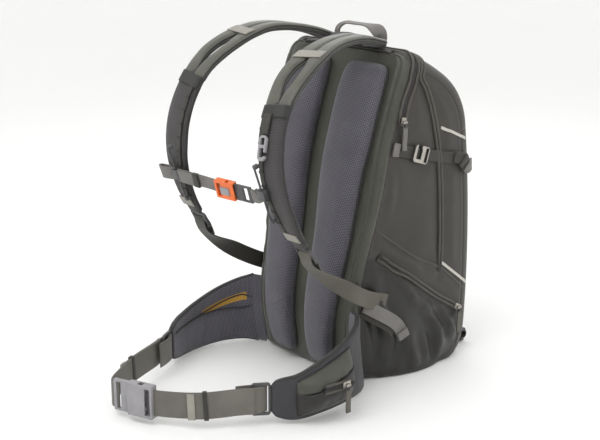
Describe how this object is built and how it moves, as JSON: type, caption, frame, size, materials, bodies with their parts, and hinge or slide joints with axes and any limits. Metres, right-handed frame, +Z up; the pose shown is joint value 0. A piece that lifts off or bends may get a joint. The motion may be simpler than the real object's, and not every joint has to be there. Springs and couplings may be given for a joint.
{
  "type": "ski backpack",
  "caption": "Framed fabric backpack with padded mesh back, split shoulder straps, sternum strap, hip belt with side-release buckle, zipped compartments and side ski loops.",
  "frame": {"origin": "centre of the flat base that the bag stands on", "axes": "+X to the wearer's left, -Y towards the wearer (the harness side), +Z up"},
  "size_m": [0.3724, 0.5832, 0.5158],
  "materials": {
    "softshell": "coated nylon pack cloth",
    "satin": "satin coated nylon",
    "mesh": "3-D spacer mesh over foam",
    "dark": "dark mesh and bound foam",
    "webbing": "woven webbing",
    "plastic": "moulded acetal",
    "pale": "moulded acetal, light grey",
    "orange": "moulded acetal, orange",
    "lining": "golden lining cloth",
    "tape": "zip tape with a coated coil",
    "metal": "satin",
    "board": "pressed polyethylene sheet"
  },
  "bodies": {
    "bag": {"base_panel": "softshell", "front_panel": "softshell", "top_panel": "softshell", "yoke_panel": "softshell", "back_panel": "satin", "frame_sheet": "board", "compartment_divider": "lining", "left_side_panel": "softshell", "left_back_gusset": "satin", "left_frame_stay": "metal", "right_side_panel": "softshell", "right_back_gusset": "satin", "right_frame_stay": "metal", "left_back_pad": "mesh", "right_back_pad": "mesh", "left_lower_webbing": "webbing", "right_lower_webbing": "webbing", "yoke_pad": "mesh", "belt_buckle_female": "pale", "left_hip_wing": "dark", "left_hip_pocket": "softshell", "left_belt_ladder_lock": "plastic", "left_belt_webbing": "webbing", "main_zip_track": "tape", "front_zip_track": "tape", "lower_zip_track": "tape", "hip_zip_track": "tape", "left_compression_strap": "webbing", "right_compression_strap": "webbing", "left_stabiliser_webbing": "webbing"},
    "harness": {"left_shoulder_strap": "softshell", "right_shoulder_strap": "softshell", "left_strap_ladder_lock": "plastic", "right_strap_ladder_lock": "plastic", "left_sternum_rail": "plastic", "right_sternum_rail": "plastic"},
    "sternum_strap": {"left_sternum_clip": "plastic", "right_sternum_clip": "plastic", "left_sternum_webbing": "webbing", "right_sternum_webbing": "webbing", "sternum_buckle_male": "plastic"},
    "sternum_socket": {"sternum_buckle_female": "orange"},
    "strap_hook": {"shoulder_clip": "pale"},
    "handle": {"grab_handle": "webbing"},
    "belt_gate": {"right_hip_wing": "dark", "right_hip_pocket": "softshell", "right_belt_ladder_lock": "plastic", "right_belt_webbing": "webbing", "belt_buckle_male": "pale"},
    "main_slider": {"main_zip_slider": "metal"},
    "main_pull": {"main_zip_pull": "webbing"},
    "lower_slider": {"lower_zip_slider": "metal"},
    "lower_pull": {"lower_zip_pull": "webbing"},
    "hip_slider": {"hip_zip_slider": "metal"},
    "hip_pull": {"hip_zip_pull": "webbing"},
    "left_hook": {"left_compression_hook": "metal"},
    "right_hook": {"right_compression_hook": "metal"},
    "left_loop": {"left_ski_loop": "dark"},
    "right_loop": {"right_ski_loop": "dark"}
  },
  "joints": [
    {"name": "harness_lift", "type": "hinge", "parent": "bag", "child": "harness", "pos_m": [0, -0.006, 0.484], "axis": [-1, 0, 0], "range_deg": [0, 12]},
    {"name": "sternum_height", "type": "slide", "parent": "harness", "child": "sternum_strap", "axis": [0, -0.3401, 0.9404], "range_m": [-0.024, 0.024]},
    {"name": "sternum_release", "type": "slide", "parent": "sternum_strap", "child": "sternum_socket", "axis": [-0.9776, -0.2079, 0.033], "range_m": [0, 0.022]},
    {"name": "strap_hook_swing", "type": "hinge", "parent": "harness", "child": "strap_hook", "pos_m": [0.08544, -0.24444, 0.3869], "axis": [-1, 0, 0], "range_deg": [0, 60]},
    {"name": "handle_fold", "type": "hinge", "parent": "bag", "child": "handle", "pos_m": [0, 0.0054, 0.4843], "axis": [-1, 0, 0], "range_deg": [0, 75]},
    {"name": "belt_open", "type": "hinge", "parent": "bag", "child": "belt_gate", "pos_m": [-0.12479, -0.09995, 0.059], "axis": [0, 0, -1], "range_deg": [0, 35]},
    {"name": "main_zip_run", "type": "slide", "parent": "bag", "child": "main_slider", "axis": [0, 0.214, 0.9768], "range_m": [0, 0.024]},
    {"name": "main_pull_swing", "type": "hinge", "parent": "main_slider", "child": "main_pull", "pos_m": [0.1356, -0.03229, 0.38782], "axis": [0, -1, 0], "range_deg": [0, 80]},
    {"name": "lower_zip_run", "type": "slide", "parent": "bag", "child": "lower_slider", "axis": [0, -0.8506, 0.5258], "range_m": [0, 0.055]},
    {"name": "lower_pull_swing", "type": "hinge", "parent": "lower_slider", "child": "lower_pull", "pos_m": [0.1356, 0.0962, 0.08421], "axis": [0, -1, 0], "range_deg": [0, 80]},
    {"name": "hip_zip_run", "type": "slide", "parent": "bag", "child": "hip_slider", "axis": [0, -0.9994, -0.035], "range_m": [0, 0.026]},
    {"name": "hip_pull_swing", "type": "hinge", "parent": "hip_slider", "child": "hip_pull", "pos_m": [0.19196, -0.18554, 0.05415], "axis": [0, -1, 0], "range_deg": [0, 80]},
    {"name": "left_hook_release", "type": "hinge", "parent": "bag", "child": "left_hook", "pos_m": [0.1325, 0.01585, 0.3329], "axis": [0, 0.3051, 0.9523], "range_deg": [0, 50]},
    {"name": "right_hook_release", "type": "hinge", "parent": "bag", "child": "right_hook", "pos_m": [-0.1325, 0.01585, 0.3329], "axis": [0, -0.3051, -0.9523], "range_deg": [0, 50]},
    {"name": "left_loop_lift", "type": "hinge", "parent": "bag", "child": "left_loop", "pos_m": [0.084, 0.136, 0.022], "axis": [1, 0, 0], "range_deg": [0, 60]},
    {"name": "right_loop_lift", "type": "hinge", "parent": "bag", "child": "right_loop", "pos_m": [-0.084, 0.136, 0.022], "axis": [1, 0, 0], "range_deg": [0, 60]}
  ]
}
